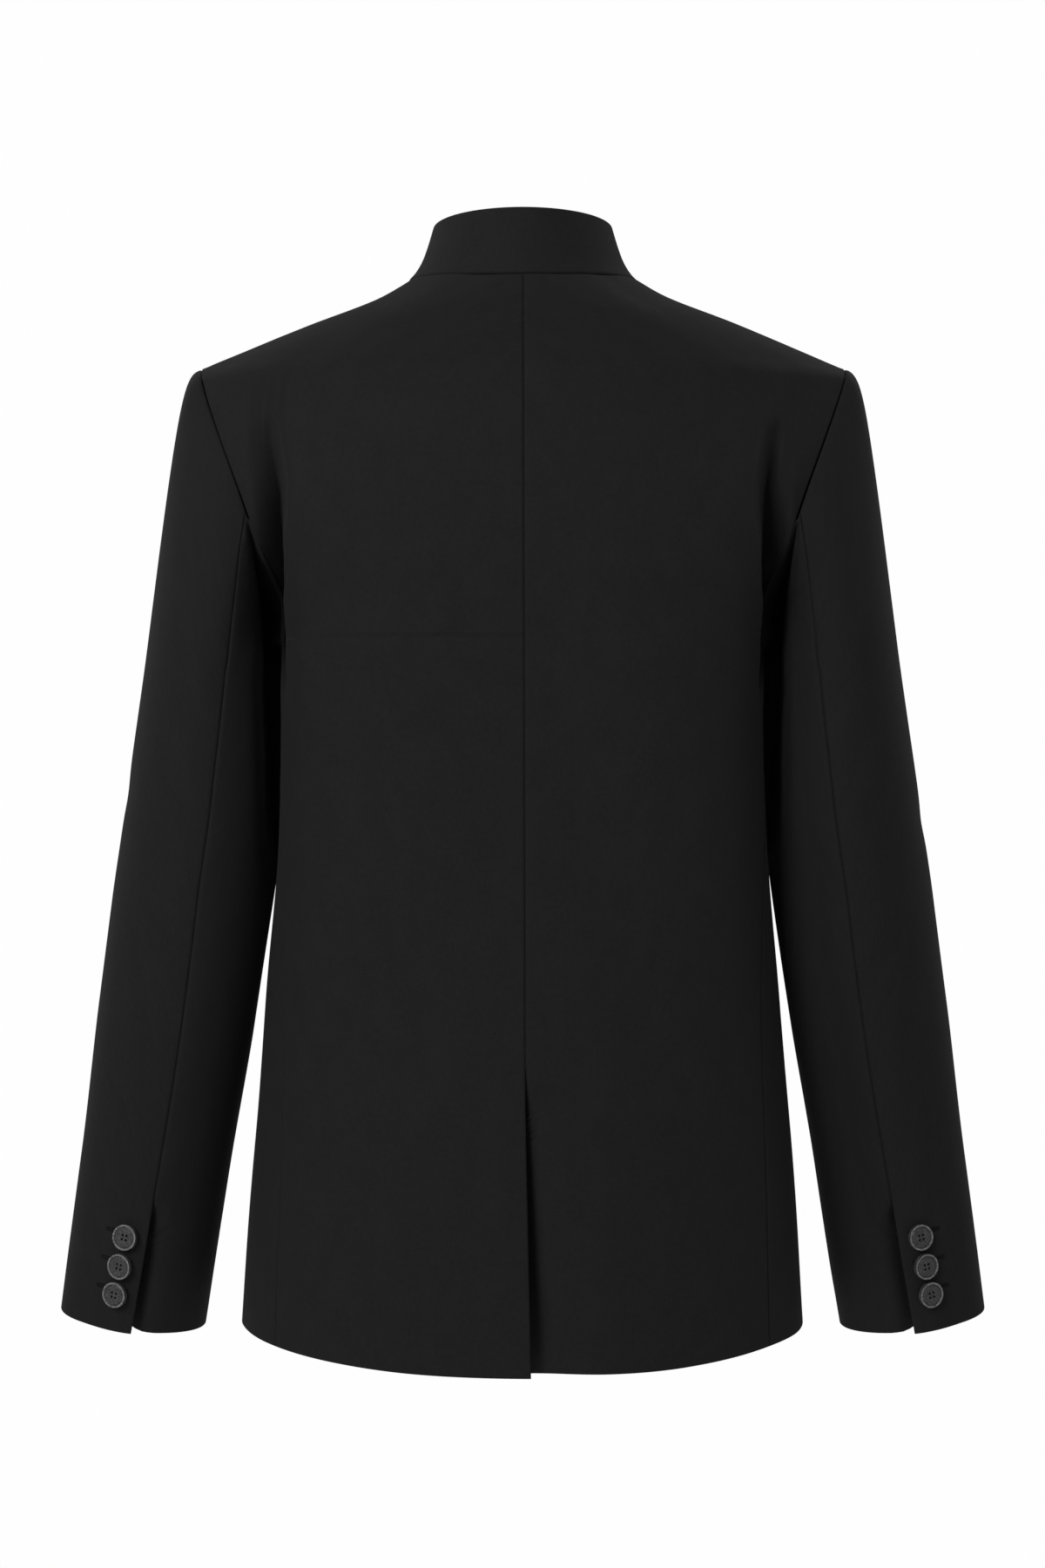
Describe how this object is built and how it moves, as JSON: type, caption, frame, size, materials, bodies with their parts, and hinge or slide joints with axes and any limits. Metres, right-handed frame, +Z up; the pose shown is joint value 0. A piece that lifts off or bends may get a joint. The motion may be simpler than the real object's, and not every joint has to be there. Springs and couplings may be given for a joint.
{
  "type": "asymmetric jacket",
  "caption": "Black stand-collar jacket of smooth fine suiting with an off-centre front lap, buttoned cuff vents and a centre back vent, hollow as worn",
  "frame": {"origin": "Midway between the two neck points at the top of the shoulder seams, where the wearer's shoulders carry the jacket", "axes": "+Z up, +Y out of the front, -Y out of the back, +X to the wearer's right"},
  "size_m": [0.5998, 0.2415, 0.7175],
  "materials": {
    "suiting": "matte black, smooth fine weave",
    "button": "dark grey, satin with a polished rim"
  },
  "bodies": {
    "root": {"back_left": "suiting", "back_right": "suiting", "collar": "suiting", "front_left": "suiting", "front_right": "suiting", "side_left": "suiting", "side_right": "suiting", "sleeve_top_left": "suiting", "sleeve_top_right": "suiting", "sleeve_under_left": "suiting", "sleeve_under_right": "suiting", "cuff_button_left_1": "button", "cuff_button_left_2": "button", "cuff_button_left_3": "button", "cuff_button_right_1": "button", "cuff_button_right_2": "button", "cuff_button_right_3": "button"}
  },
  "joints": []
}
